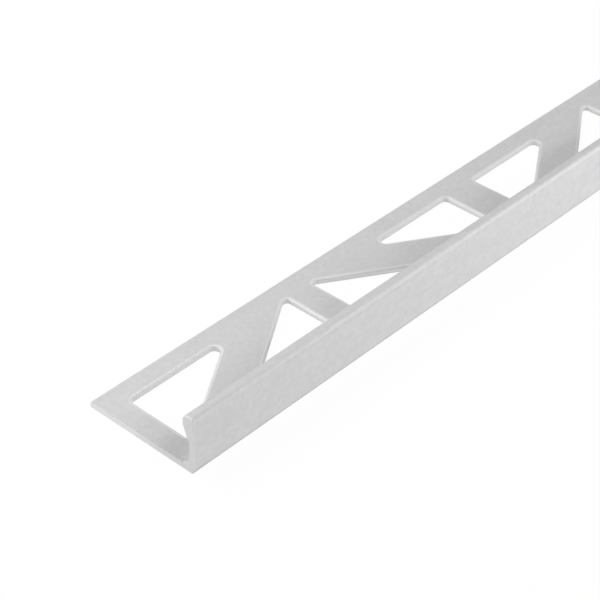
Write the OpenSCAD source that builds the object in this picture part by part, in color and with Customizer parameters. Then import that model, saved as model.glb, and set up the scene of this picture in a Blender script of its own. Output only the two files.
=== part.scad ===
// Straight-edge tile trim: one aluminium extrusion, with a lipped upright and a punched anchoring leg.
// X runs along the stock, Y from the face side to the back edge, and Z up from the underside.
// The origin is at the middle of the underside.

/* [Stock] */
// Length of the piece
length = 1000; // [200:10:3000]
// Overall height, from the underside to the crown of the lip
height = 10; // [8:0.5:20]

/* [Upright] */
// Thickness of the thin wall below the lip
wall_t = 0.85; // [0.6:0.05:1.1]
// Thickness of the lip, from the face to its inner side
lip_t = 2.1; // [1.7:0.1:2.8]
// Depth of the lip below the crown, at its full thickness
lip_h = 2; // [1.6:0.1:3]
// Height over which the wall thickens into the lip
taper_h = 2.8; // [2:0.1:3.2]
// Radius of the lip's outer top edge
lip_outer_r = 0.6; // [0.3:0.05:0.7]
// Radius of the lip's inner top edge
lip_inner_r = 1; // [0.5:0.05:1]
// Radius of the bends at the two ends of the taper
taper_bend_r = 2; // [0.5:0.1:2.5]
// Radius of the outer corner, between the face and the underside
corner_r = 0.15; // [0.1:0.05:0.45]

/* [Anchoring leg] */
// Width of the leg, from the face to the back edge
leg_w = 21; // [19:0.5:30]
// Thickness of the leg
leg_t = 1; // [0.8:0.05:1.5]
// Radius of the fillet between the upright and the leg
fillet_r = 1.4; // [0.5:0.1:1.6]
// Radius of the two corners of the back edge
back_r = 0.2; // [0.1:0.05:0.35]

/* [Punched holes] */
// From the near end to the first hole
end_margin = 4.2; // [3:0.1:20]
// From the back edge of the leg to the holes
back_margin = 3.8; // [2:0.1:5]
// Size of a hole across the leg
hole_depth = 11.9; // [9:0.1:12.5]
// Long side of a hole, along the leg
hole_long = 20.3; // [14:0.1:26]
// Short side of a hole, at its tip
hole_short = 1; // [0.8:0.1:4]
// Radius of the two corners on a hole's long side
hole_r = 0.9; // [0.3:0.05:1.2]
// Radius of the two corners at a hole's tip
tip_r = 0.5; // [0.2:0.05:0.55]
// Width of the slanted web in a pair of holes, square to its edges
slant_web = 7; // [4:0.1:12]
// Width of the square web between holes whose long sides are at the front
front_web = 5.75; // [3:0.05:12]
// Width of the square web between holes whose long sides are at the back
back_web = 7.55; // [3:0.05:12]

/* [Hidden] */

// Largest angle between two points on an arc
arc_step = 15;
// How far the punch runs past each face of the leg
punch_over = 1;

// The section's two bends, as heights
lip_low = height - lip_h;
taper_low = lip_low - taper_h;

// A hole's slanted edge, and the slanted web measured along the leg
slant_run = hole_long - hole_short;
slant_angle = atan(slant_run / hole_depth);
slant_web_x = slant_web / cos(slant_angle);

// One pair of holes, one repeat of the pattern (a pair and its mirror image), and how many repeats fit
pair_l = hole_short + slant_web_x + hole_long;
period = 2 * pair_l + front_web + back_web;
periods = floor((length - 2 * end_margin + back_web) / period);
hole_back = leg_w - back_margin;

function unit(v) = v / norm(v);

function turned(v, angle) = [
    v.x * cos(angle) - v.y * sin(angle),
    v.x * sin(angle) + v.y * cos(angle)
];

// Points of the arc that rounds corner b, which lies between points a and c
function corner_arc(a, b, c, r) =
    let (
        to_a = unit(a - b),
        to_c = unit(c - b),
        half = acos(to_a * to_c) / 2,
        centre = b + unit(to_a + to_c) * r / sin(half),
        first = b + to_a * r / tan(half) - centre,
        sweep = sign(cross(b - a, c - b)) * (180 - 2 * half),
        steps = max(2, ceil(abs(sweep) / arc_step))
    )
    [for (i = [0 : steps]) centre + turned(first, sweep * i / steps)];

// Outline with rounded corners, each given as [point, radius]
function rounded(corners) =
    let (n = len(corners))
    [
        for (i = [0 : n - 1])
            let (
                before = corners[(i + n - 1) % n][0],
                here = corners[i][0],
                after = corners[(i + 1) % n][0]
            )
            each corner_arc(before, here, after, corners[i][1])
    ];

// The extruded section: x runs from the face to the back edge, y up
module section() {
    polygon(rounded([
        [[0, 0], corner_r],
        [[leg_w, 0], back_r],
        [[leg_w, leg_t], back_r],
        [[wall_t, leg_t], fillet_r],
        [[wall_t, taper_low], taper_bend_r],
        [[lip_t, lip_low], taper_bend_r],
        [[lip_t, height], lip_inner_r],
        [[0, height], lip_outer_r]
    ]));
}

// One hole, with its long side along the x axis and its square edge on the y axis
module hole() {
    polygon(rounded([
        [[0, 0], hole_r],
        [[0, -hole_depth], tip_r],
        [[hole_short, -hole_depth], tip_r],
        [[hole_long, 0], hole_r]
    ]));
}

// A hole with its long side at the back, a slanted web, and the same hole turned half round
module hole_pair() {
    hole();
    translate([pair_l, -hole_depth]) rotate(180) hole();
}

// The holes along the leg: each pair is followed by its mirror image
module hole_pattern() {
    for (i = [0 : periods - 1]) {
        translate([end_margin + i * period, hole_back]) {
            hole_pair();
            translate([2 * pair_l + front_web, 0]) mirror([1, 0]) hole_pair();
        }
    }
}

// The trim: the section drawn out along X, with the holes punched through the leg
module trim() {
    color([0.8, 0.8, 0.79])
        translate([-length / 2, -leg_w / 2, 0])
            difference() {
                rotate([90, 0, 90]) linear_extrude(length) section();
                translate([0, 0, -punch_over]) linear_extrude(leg_t + 2 * punch_over) hole_pattern();
            }
}

trim();
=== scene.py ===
# Satin aluminium tile edge trim: the drawn section with its punched leg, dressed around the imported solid
from math import atan, ceil, cos, degrees, pi, radians, sin, tan
import bmesh
import bpy
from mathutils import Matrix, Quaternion, Vector


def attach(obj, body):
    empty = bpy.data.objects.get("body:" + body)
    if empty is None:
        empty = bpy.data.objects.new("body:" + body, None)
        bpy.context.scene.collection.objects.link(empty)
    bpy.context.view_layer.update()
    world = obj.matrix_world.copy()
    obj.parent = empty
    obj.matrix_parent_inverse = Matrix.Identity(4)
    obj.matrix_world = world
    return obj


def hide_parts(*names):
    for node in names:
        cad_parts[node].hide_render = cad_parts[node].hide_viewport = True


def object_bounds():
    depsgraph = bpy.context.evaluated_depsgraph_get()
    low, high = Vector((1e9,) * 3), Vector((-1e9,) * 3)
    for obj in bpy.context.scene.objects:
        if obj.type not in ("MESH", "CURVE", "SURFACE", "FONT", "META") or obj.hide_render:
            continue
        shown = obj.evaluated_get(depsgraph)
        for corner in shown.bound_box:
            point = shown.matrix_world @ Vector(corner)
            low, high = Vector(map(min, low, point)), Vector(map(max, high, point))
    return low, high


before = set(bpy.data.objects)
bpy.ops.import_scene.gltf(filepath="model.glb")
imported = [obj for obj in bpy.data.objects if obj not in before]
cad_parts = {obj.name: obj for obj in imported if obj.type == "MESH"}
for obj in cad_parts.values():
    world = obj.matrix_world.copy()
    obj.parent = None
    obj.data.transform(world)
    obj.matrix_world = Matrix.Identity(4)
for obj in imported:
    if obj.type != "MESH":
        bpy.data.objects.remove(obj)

cadLow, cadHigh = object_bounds()
mm = 0.001  # the section and its holes are in millimetres, and the finished mesh is scaled to metres
length, legWidth, height = [side / mm for side in cadHigh - cadLow]
print("frame loaded: %.0f x %.1f x %.1f mm" % (length, legWidth, height))

# camera

photoCamera = {
    "lens": 110.85,  # mm
    "sensor": 36,
    "clip": (0.01, 50),
    "place": (-0.63748, -0.14548, 0.17748),
    "heading": 40.307,  # degrees from +X towards +Y
    "down": 37.199,
    "roll": 2.49,
}


def makeCamera(view):
    heading, down = radians(view["heading"]), radians(view["down"])
    aim = Vector((cos(heading) * cos(down), sin(heading) * cos(down), -sin(down)))
    lens = bpy.data.cameras.new("photoCamera")
    lens.lens = view["lens"]
    lens.sensor_width = view["sensor"]
    lens.clip_start, lens.clip_end = view["clip"]
    camera = bpy.data.objects.new("photoCamera", lens)
    camera.location = view["place"]
    camera.rotation_mode = "QUATERNION"
    camera.rotation_quaternion = aim.to_track_quat("-Z", "Y") @ Quaternion((0, 0, 1), radians(view["roll"]))
    bpy.context.collection.objects.link(camera)
    bpy.context.scene.camera = camera


makeCamera(photoCamera)
print("camera placed")

# the drawn section, from the face (y = 0) to the back edge, and up from the underside

section = {
    "wall": 0.85,
    "lip": 2.1,
    "lipDepth": 2.0,
    "taper": 2.8,
    "lipOuterRadius": 0.6,
    "lipInnerRadius": 1.0,
    "taperBend": 2.0,
    "cornerRadius": 0.15,
    "legThick": 1.0,
    "fillet": 1.4,
    "backRadius": 0.2,
    "uprightBevel": 0.16,  # the saw cuts are deburred, most of all round the upright
    "legBevel": 0.02,
    "bevelSegments": 4,
    "arcStep": 7.5,  # degrees between points on an arc
    "sharpAngle": 35,  # edges past this many degrees stay sharp
    "flatWeight": 100,  # how far large flats win over small faces in the shading
}

punchedHoles = {
    "endMargin": 4.2,
    "backMargin": 3.8,
    "depth": 11.9,
    "long": 20.3,
    "short": 1.0,
    "radius": 0.9,
    "tipRadius": 0.5,
    "slantWeb": 7.0,
    "frontWeb": 5.75,
    "backWeb": 7.55,
    "dishWidth": 0.2,  # the punch draws the top down in a shallow dish
    "dishDepth": 0.02,
    "rollWidth": 0.35,  # and rolls its rim over
    "rollDepth": 0.3,
    "rollSteps": 6,
    "burnished": 0.25,  # smooth band of the sheared wall, below the roll
    "breakOut": 0.1,  # how far the torn wall widens below that
    "arcStep": 10,
}

satin, sawn, sheared = 0, 1, 2  # material slots of the piece
slack, flatSlack = 0.01, 0.0005  # mm allowed when vertices are picked by their place, and on a flat


def roundedLoop(bm, corners, axis, arcStep, grow=0.0):
    # each corner is (point, radius); its arc is spun from one vertex, and grow moves the whole loop outwards
    ends = []
    for i, (corner, radius) in enumerate(corners):
        toLast = (corners[i - 1][0] - corner).normalized()
        toNext = (corners[(i + 1) % len(corners)][0] - corner).normalized()
        half = toLast.angle(toNext) / 2
        centre = corner + (toLast + toNext).normalized() * radius / sin(half)
        spoke = corner + toLast * radius / tan(half) - centre
        turn = pi - 2 * half
        if axis.dot(toNext.cross(toLast)) < 0:
            turn = -turn
        first = bm.verts.new(centre + spoke * (1 + grow / radius))
        steps = max(2, ceil(degrees(abs(turn)) / arcStep))
        arc = bmesh.ops.spin(bm, geom=[first], cent=centre, axis=axis, angle=turn, steps=steps)
        ends.append((first, arc["geom_last"][0]))
    for i in range(len(ends)):
        bm.edges.new((ends[i - 1][1], ends[i][0]))
    loop = [edge for edge in bm.edges if edge.is_wire]
    return bmesh.ops.contextual_create(bm, geom=loop)["faces"][0]


def drawBar(bm):
    # the section face at the near end, drawn out along X, with its cut ends deburred
    s = section
    lipLow = height - s["lipDepth"]
    taperLow = lipLow - s["taper"]
    outline = [
        (0, 0, s["cornerRadius"]),
        (legWidth, 0, s["backRadius"]),
        (legWidth, s["legThick"], s["backRadius"]),
        (s["wall"], s["legThick"], s["fillet"]),
        (s["wall"], taperLow, s["taperBend"]),
        (s["lip"], lipLow, s["taperBend"]),
        (s["lip"], height, s["lipInnerRadius"]),
        (0, height, s["lipOuterRadius"]),
    ]
    near = -length / 2
    corners = [(Vector((near, y - legWidth / 2, z)), radius) for y, z, radius in outline]
    nearEnd = roundedLoop(bm, corners, Vector((1, 0, 0)), s["arcStep"])
    drawn = bmesh.ops.extrude_face_region(bm, geom=[nearEnd], use_keep_orig=True)["geom"]
    farVerts = [v for v in drawn if isinstance(v, bmesh.types.BMVert)]
    bmesh.ops.translate(bm, verts=farVerts, vec=(length, 0, 0))
    for face in bm.faces:
        face.material_index = sawn if len(face.verts) > 4 else satin
    filletTop = s["legThick"] + s["fillet"]
    middle = (s["wall"] - legWidth) / 2

    def onUpright(v):
        return v.co.z > s["cornerRadius"] - slack and (v.co.z > filletTop - slack or v.co.y < middle)

    def onLeg(v):
        return s["backRadius"] < v.co.z < filletTop + slack and v.co.y > middle

    bevelEnds(bm, s["uprightBevel"], onUpright)
    bevelEnds(bm, s["legBevel"], onLeg)


def bevelEnds(bm, offset, belongs):
    rims = []
    for edge in bm.edges:
        kinds = {face.material_index for face in edge.link_faces}
        if kinds == {sawn, satin} and all(belongs(v) for v in edge.verts):
            rims.append(edge)
    bevelled = bmesh.ops.bevel(
        bm, geom=rims, affect="EDGES", offset=offset, offset_type="OFFSET",
        segments=section["bevelSegments"], profile=0.5, material=-1, clamp_overlap=False,
    )["faces"]
    for face in bevelled:
        face.material_index = satin
    for v in bm.verts:
        v.co.x = max(-length / 2, min(length / 2, v.co.x))


def punchHole(bm, x, side, along, across):
    # one hole: its rim is rolled by insets, and the last inset is the sheared wall
    h = punchedHoles
    back = legWidth / 2 - h["backMargin"]
    y = back if side == "back" else back - h["depth"]
    plan = [
        (0, 0, h["radius"]),
        (0, -h["depth"], h["tipRadius"]),
        (h["short"], -h["depth"], h["tipRadius"]),
        (h["long"], 0, h["radius"]),
    ]
    top = section["legThick"]
    corners = [(Vector((x + along * px, y + across * py, top)), radius) for px, py, radius in plan]
    hole = roundedLoop(bm, corners, Vector((0, 0, 1)), h["arcStep"], h["dishWidth"] + h["rollWidth"])
    hole.normal_update()
    if hole.normal.z < 0:
        hole.normal_flip()
    quarter = [pi / 2 * i / h["rollSteps"] for i in range(h["rollSteps"] + 1)]
    steps = [(h["dishWidth"], h["dishDepth"])]
    for a, b in zip(quarter, quarter[1:]):
        steps.append((h["rollWidth"] * (sin(b) - sin(a)), h["rollDepth"] * (cos(a) - cos(b))))
    steps.append((0, h["burnished"]))
    steps.append((-h["breakOut"], top - sum(down for inwards, down in steps)))
    for inwards, down in steps:
        ring = bmesh.ops.inset_region(
            bm, faces=[hole], use_boundary=True, use_even_offset=True, thickness=inwards, depth=-down
        )["faces"]
        for face in ring:
            face.material_index = sheared
    bmesh.ops.delete(bm, geom=[hole], context="FACES_ONLY")


def holePairs():
    # a hole with its long side at the back, the same hole turned half round, then the pair's mirror image;
    # each pair comes with the place where its length of the leg ends, in the middle of the web after it
    h = punchedHoles
    slant = atan((h["long"] - h["short"]) / h["depth"])
    pair = h["short"] + h["slantWeb"] / cos(slant) + h["long"]
    period = 2 * pair + h["frontWeb"] + h["backWeb"]
    repeats = int((length - 2 * h["endMargin"] + h["backWeb"]) / period)
    for i in range(repeats):
        x = -length / 2 + h["endMargin"] + i * period
        yield x + pair + h["frontWeb"] / 2, ((x, "back", 1, 1), (x + pair, "front", -1, -1))
        x += pair + h["frontWeb"]
        yield x + pair + h["backWeb"] / 2, ((x, "front", 1, -1), (x + pair, "back", -1, 1))


def fillLeg(bm, level, cuts):
    # the flat is made again round the holes, one length at a time
    def isFlat(part):
        return all(abs(v.co.z - level) < flatSlack for v in part.verts)

    flats = [face for face in bm.faces if isFlat(face)]
    bmesh.ops.delete(bm, geom=flats, context="FACES_ONLY")
    rims = [edge for edge in bm.edges if len(edge.link_faces) < 2 and isFlat(edge)]
    for left, right in zip([-length] + cuts, cuts + [length]):
        part = [e for e in rims if all(left - slack < v.co.x < right + slack for v in e.verts)]
        bmesh.ops.triangle_fill(bm, use_beauty=True, use_dissolve=False, edges=part, normal=(0, 0, 1))


def makeTrim():
    bm = bmesh.new()
    drawBar(bm)
    pairs = list(holePairs())
    cuts = [cut for cut, holes in pairs]
    for cut in cuts:
        whole = bm.verts[:] + bm.edges[:] + bm.faces[:]
        bmesh.ops.bisect_plane(bm, geom=whole, plane_co=(cut, 0, 0), plane_no=(1, 0, 0))
    for cut, holes in pairs:
        for place in holes:
            punchHole(bm, *place)
    for level in (section["legThick"], 0):
        fillLeg(bm, level, cuts)
    bmesh.ops.recalc_face_normals(bm, faces=bm.faces)
    bmesh.ops.scale(bm, vec=(mm, mm, mm), verts=bm.verts)
    openEdges = sum(not edge.is_manifold for edge in bm.edges)
    mesh = bpy.data.meshes.new("tileTrim")
    bm.to_mesh(mesh)
    bm.free()
    mesh.shade_smooth()
    mesh.set_sharp_from_angle(angle=radians(section["sharpAngle"]))
    piece = bpy.data.objects.new("tileTrim", mesh)
    bpy.context.collection.objects.link(piece)
    weigh = piece.modifiers.new("flatFacesFirst", "WEIGHTED_NORMAL")
    weigh.keep_sharp = True
    weigh.weight = section["flatWeight"]
    print("trim made: %d holes, %d faces, %d open edges" % (2 * len(pairs), len(mesh.polygons), openEdges))
    return piece


trim = makeTrim()

# finishes


class Wire:
    # a socket that can be used in sums; every other node comes from node()
    def __init__(self, tree, socket=None):
        self.tree = tree
        self.socket = socket

    def node(self, kind, settings=None, sockets=None, out=0):
        made = self.tree.nodes.new(kind)
        for name, value in (settings or {}).items():
            setattr(made, name, value)
        for name, value in (sockets or {}).items():
            if isinstance(value, Wire):
                self.tree.links.new(value.socket, made.inputs[name])
            else:
                made.inputs[name].default_value = value
        return Wire(self.tree, made.outputs[out])

    def maths(self, operation, first, second):
        return self.node("ShaderNodeMath", {"operation": operation}, {0: first, 1: second})

    def __add__(self, other):
        return self.maths("ADD", self, other)

    def __radd__(self, other):
        return self.maths("ADD", other, self)

    def __sub__(self, other):
        return self.maths("SUBTRACT", self, other)

    def __rsub__(self, other):
        return self.maths("SUBTRACT", other, self)

    def __mul__(self, other):
        return self.maths("MULTIPLY", self, other)

    def __rmul__(self, other):
        return self.maths("MULTIPLY", other, self)


def newMaterial(name):
    material = bpy.data.materials.new(name)
    material.use_nodes = True
    material.node_tree.nodes.clear()
    return material, Wire(material.node_tree)


def endMaterial(wire, shader):
    output = wire.tree.nodes.new("ShaderNodeOutputMaterial")
    wire.tree.links.new(shader.socket, output.inputs["Surface"])


def stretchedNoise(wire, place, scale, detail=3.0):
    stretched = wire.node("ShaderNodeMapping", None, {"Vector": place, "Scale": scale})
    return wire.node("ShaderNodeTexNoise", None, {"Vector": stretched, "Scale": 1.0, "Detail": detail})


def blendColour(wire, share, dark, light):
    return wire.node("ShaderNodeMix", {"data_type": "RGBA"}, {0: share, 6: dark, 7: light}, out=2)


def softStep(wire, value, low, high):
    return wire.node("ShaderNodeMapRange", {"interpolation_type": "SMOOTHSTEP"}, {
        "Value": value, "From Min": low, "From Max": high,
    })


def awayFrom(wire, place, line, low, high):
    # 0 along a line in X through (y, z), and 1 past the second distance from it
    y, z = line
    across = wire.node("ShaderNodeMapping", None, {
        "Vector": place, "Location": (0, -y, -z), "Scale": (0, 1, 1),
    })
    distance = wire.node("ShaderNodeVectorMath", {"operation": "LENGTH"}, {0: across}, out="Value")
    return softStep(wire, distance, low, high)


satinFinish = {
    "dark": (0.58, 0.58, 0.58, 1),
    "light": (0.82, 0.82, 0.82, 1),
    "roughness": 0.8,
    "drawnLines": (14, 2600, 2600),  # lines per metre: long along X, fine across
    "clouds": (260, 420, 420),
    "grain": (1100, 1100, 1100),
    "fineDetail": 4.0,  # of the clouds and the grain
    "shadeShares": (0.28, 0.28, 0.44),  # of the lines, the clouds and the grain
    "reliefShares": (0.6, 0.4),  # of the lines and the grain
    "relief": 0.2,
    "lineHeight": 0.00002,
    "roughnessSpread": (0.12, 0.08),  # by the clouds and the lines
    "insideCorner": (-0.00965, 0.001),  # (y, z) in metres, as the places below are
    "cornerShadeReach": (0.004, 0.0094),  # painted shade in the inside corner fades out between these distances from that corner
    "insideFrom": (-0.0101, 0.0005),  # what is past both of these, in Y and in Z, is on the inside
    "lipShadeSpan": (-0.0096, -0.0088),  # painted shade darkens the lip's inner side between these places in Y
    "lipShadeAbove": 0.0085,
    "footShadeEdge": (-0.0105, 0.0),  # painted shade darkens the edge that the bar stands on, where a contact shadow falls
    "footShadeReach": (0.0002, 0.0006),
    "paintedShade": 0.31,
    "ridge": (-0.0105, 0.00955),  # the outer edge of the lip, which gets a painted highlight
    "ridgeReach": (0.00015, 0.00045),
    "ridgeHighlight": 0.15,
    "cutHighlightReach": (0.4994, 0.49992),  # a painted highlight brightens the upright at the deburred cut ends, between these distances along X
    "cutBehind": -0.0083,  # and not behind this place in Y, on the leg
    "cutHighlight": 0.2,
}


def satinAluminium(look):
    material, wire = newMaterial("satinAluminium")
    place = wire.node("ShaderNodeTexCoord", out="Object")
    lines = stretchedNoise(wire, place, look["drawnLines"])
    clouds = stretchedNoise(wire, place, look["clouds"], look["fineDetail"])
    grain = stretchedNoise(wire, place, look["grain"], look["fineDetail"])
    along, back, up = [wire.node("ShaderNodeSeparateXYZ", None, {0: place}, out=axis) for axis in "XYZ"]
    pastFace, aboveUnderside = look["insideFrom"]
    inside = wire.maths("GREATER_THAN", back, pastFace) * wire.maths("GREATER_THAN", up, aboveUnderside)
    # painted shade: the inside corner is darkened where the upright shades the leg
    cornerShade = inside * (1 - awayFrom(wire, place, look["insideCorner"], *look["cornerShadeReach"]))
    # painted shade on the lip's inner side
    lipShade = wire.maths("GREATER_THAN", up, look["lipShadeAbove"]) * softStep(wire, back, *look["lipShadeSpan"])
    # painted shade along the foot edge
    footShade = 1 - awayFrom(wire, place, look["footShadeEdge"], *look["footShadeReach"])
    paintedShade = wire.maths("MAXIMUM", wire.maths("MAXIMUM", cornerShade, lipShade), footShade) * look["paintedShade"]
    # painted highlight on the lip's outer edge
    paintedRidgeHighlight = (1 - awayFrom(wire, place, look["ridge"], *look["ridgeReach"])) * look["ridgeHighlight"]
    # painted highlight on the upright near the cut ends
    atCut = softStep(wire, wire.maths("ABSOLUTE", along, 0.0), *look["cutHighlightReach"])
    paintedCutHighlight = atCut * wire.maths("LESS_THAN", back, look["cutBehind"]) * look["cutHighlight"]
    lineShare, cloudShare, grainShare = look["shadeShares"]
    shade = lines * lineShare + clouds * cloudShare + grain * grainShare - paintedShade + paintedRidgeHighlight + paintedCutHighlight
    lineRelief, grainRelief = look["reliefShares"]
    cloudSpread, lineSpread = look["roughnessSpread"]
    relief = wire.node("ShaderNodeBump", None, {
        "Height": lines * lineRelief + grain * grainRelief,
        "Strength": look["relief"],
        "Distance": look["lineHeight"],
    })
    shader = wire.node("ShaderNodeBsdfPrincipled", None, {
        "Base Color": blendColour(wire, shade, look["dark"], look["light"]),
        "Roughness": look["roughness"] + (clouds - 0.5) * cloudSpread + (lines - 0.5) * lineSpread,
        "Metallic": 1.0,
        "Normal": relief,
    })
    endMaterial(wire, shader)
    return material


sawnFinish = {
    "dark": (0.62, 0.62, 0.62, 1),
    "light": (0.65, 0.65, 0.65, 1),
    "paintedLight": (0.71, 0.71, 0.71, 1),
    "paintedLightFrom": (-0.0055, 0.003),  # the cut is painted lighter along the leg between these places in Y, painted light standing in for light falling on it
    "roughness": 0.7,
    "roughnessSpread": 0.1,
    "sawMarks": (900, 3000, 90),  # fine across, long up the cut
    "lean": 7,  # degrees that the marks lean over
    "relief": 0.05,
    "markHeight": 0.00003,
}


def sawnAluminium(look):
    material, wire = newMaterial("sawnAluminium")
    place = wire.node("ShaderNodeTexCoord", out="Object")
    leaning = wire.node("ShaderNodeMapping", None, {
        "Vector": place, "Rotation": (radians(look["lean"]), 0, 0),
    })
    marks = stretchedNoise(wire, leaning, look["sawMarks"])
    relief = wire.node("ShaderNodeBump", None, {
        "Height": marks, "Strength": look["relief"], "Distance": look["markHeight"],
    })
    back = wire.node("ShaderNodeSeparateXYZ", None, {0: place}, out="Y")
    # painted light: the leg's part of the cut is made lighter
    onLeg = softStep(wire, back, *look["paintedLightFrom"])
    cut = blendColour(wire, marks, look["dark"], look["light"])
    shader = wire.node("ShaderNodeBsdfPrincipled", None, {
        "Base Color": blendColour(wire, onLeg, cut, look["paintedLight"]),
        "Roughness": look["roughness"] + (marks - 0.5) * look["roughnessSpread"],
        "Metallic": 1.0,
        "Normal": relief,
    })
    endMaterial(wire, shader)
    return material


shearedFinish = {
    "satin": (0.77, 0.77, 0.77, 1),
    "burnished": (0.735, 0.735, 0.735, 1),
    "torn": (0.67, 0.67, 0.67, 1),
    "satinHeight": (0.0007, 0.00098),  # the rolled rim fades to satin between these heights, in metres
    "tornHeight": (0.0001, 0.00045),  # and the burnished band to torn metal
    "ragged": 0.00004,
    "roughness": (0.8, 0.72),  # torn or satin, and burnished
    "scores": (1500, 1500, 300),
    "relief": 0.04,
    "scoreHeight": 0.00003,
}


def shearedAluminium(look):
    # the punch rolls the rim over and leaves a burnished band above and a torn one below
    material, wire = newMaterial("shearedAluminium")
    place = wire.node("ShaderNodeTexCoord", out="Object")
    scores = stretchedNoise(wire, place, look["scores"])
    up = wire.node("ShaderNodeSeparateXYZ", None, {0: place}, out="Z")
    aboveTorn = softStep(wire, up + (scores - 0.5) * look["ragged"], *look["tornHeight"])
    satinShare = softStep(wire, up, *look["satinHeight"])
    wall = blendColour(wire, aboveTorn, look["torn"], look["burnished"])
    matt, polished = look["roughness"]
    relief = wire.node("ShaderNodeBump", None, {
        "Height": scores, "Strength": look["relief"], "Distance": look["scoreHeight"],
    })
    shader = wire.node("ShaderNodeBsdfPrincipled", None, {
        "Base Color": blendColour(wire, satinShare, wall, look["satin"]),
        "Roughness": matt - aboveTorn * (1 - satinShare) * (matt - polished),
        "Metallic": 1.0,
        "Normal": relief,
    })
    endMaterial(wire, shader)
    return material


trim.data.materials.append(satinAluminium(satinFinish))
trim.data.materials.append(sawnAluminium(sawnFinish))
trim.data.materials.append(shearedAluminium(shearedFinish))
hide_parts("trim")
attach(trim, "root")
print("finishes made")

# stage

studio = {
    "floorRadius": 20.0,
    "floorDrop": 0.0001,
    "floorSegments": 96,
    "coveRadius": 4.0,  # the floor turns up into a low backdrop
    "coveSteps": 8,
    "floorColour": (0.9, 0.9, 0.9, 1),
    "whiteShare": 0.97,
    "world": 0.01,
}

softboxes = {
    "frontPanel": {"place": (0, -0.45, 0.75), "aim": (0, 0, 0), "size": (1.4, 0.4), "watts": 2.45},
    "backPanel": {"place": (0, 0.5, 0.7), "aim": (0, 0, 0), "size": (1.4, 0.4), "watts": 2.3},
}
endSoftboxes = {  # one at each end
    "Strip": {"place": (0.245, -0.2206, 0.1724), "aim": (0.245, 0, 0), "size": (0.25, 0.055), "watts": 0.46},
    "LowStrip": {"place": (0.255, -0.197, 0.035), "aim": (0.255, 0, 0), "size": (0.25, 0.04), "watts": 0.115},
    "Back": {"place": (0.55, 0.2, 0.3), "aim": (0.46, 0, 0), "size": (0.16, 0.16), "watts": 0.8},
    "Side": {"place": (0.85, -0.12, 0.12), "aim": (0.46, 0, 0), "size": (0.2, 0.2), "watts": 0.12},
    "Low": {"place": (0.7, 0.15, 0.06), "aim": (0.46, 0, 0), "size": (0.16, 0.16), "watts": 0.33},
}


def makeFloor(look):
    bm = bmesh.new()
    bmesh.ops.create_circle(bm, cap_ends=True, radius=look["floorRadius"], segments=look["floorSegments"])
    bmesh.ops.translate(bm, verts=bm.verts, vec=(0, 0, -look["floorDrop"]))
    cove, reach, rise = look["coveRadius"], look["floorRadius"], 0.0
    for step in range(look["coveSteps"]):
        turn = pi / 2 * (step + 1) / look["coveSteps"]
        wider, higher = look["floorRadius"] + cove * sin(turn), cove * (1 - cos(turn))
        rim = [edge for edge in bm.edges if edge.is_boundary]
        grown = bmesh.ops.extrude_edge_only(bm, edges=rim)["geom"]
        corners = [v for v in grown if isinstance(v, bmesh.types.BMVert)]
        bmesh.ops.scale(bm, vec=(wider / reach, wider / reach, 1), verts=corners)
        bmesh.ops.translate(bm, vec=(0, 0, higher - rise), verts=corners)
        reach, rise = wider, higher
    mesh = bpy.data.meshes.new("floor")
    bm.to_mesh(mesh)
    bm.free()
    floor = bpy.data.objects.new("floor", mesh)
    bpy.context.collection.objects.link(floor)
    material, wire = newMaterial("whiteFloor")
    kinds = ("Camera", "Glossy", "Transmission")
    camera, glossy, transmitted = [wire.node("ShaderNodeLightPath", out="Is %s Ray" % kind) for kind in kinds]
    seen = wire.maths("MAXIMUM", wire.maths("MAXIMUM", camera, glossy), transmitted)
    lit = wire.node("ShaderNodeBsdfDiffuse", None, {"Color": look["floorColour"]})
    white = wire.node("ShaderNodeEmission", None, {"Color": (1, 1, 1, 1), "Strength": 1.0})
    shader = wire.node("ShaderNodeMixShader", None, {0: seen * look["whiteShare"], 1: lit, 2: white})
    endMaterial(wire, shader)
    material.cycles.emission_sampling = "NONE"
    mesh.materials.append(material)


def makeSoftbox(name, look, side=1):
    light = bpy.data.lights.new(name, "AREA")
    light.shape = "RECTANGLE"
    light.size, light.size_y = look["size"]
    light.energy = look["watts"]
    lamp = bpy.data.objects.new(name, light)
    place, aim = [Vector((side * x, y, z)) for x, y, z in (look["place"], look["aim"])]
    lamp.location = place
    lamp.rotation_mode = "QUATERNION"
    lamp.rotation_quaternion = (aim - place).to_track_quat("-Z", "Y")
    lamp.visible_camera = False
    bpy.context.collection.objects.link(lamp)


def makeWorld(look):
    world = bpy.data.worlds.new("softWhite")
    bpy.context.scene.world = world
    world.use_nodes = True
    background = world.node_tree.nodes["Background"]
    background.inputs["Color"].default_value = (1, 1, 1, 1)
    background.inputs["Strength"].default_value = look["world"]


makeFloor(studio)
makeWorld(studio)
for name, look in softboxes.items():
    makeSoftbox(name, look)
for name, look in endSoftboxes.items():
    makeSoftbox("near" + name, look, -1)
    makeSoftbox("far" + name, look)
bpy.context.scene.view_settings.view_transform = "Standard"
print("stage set")
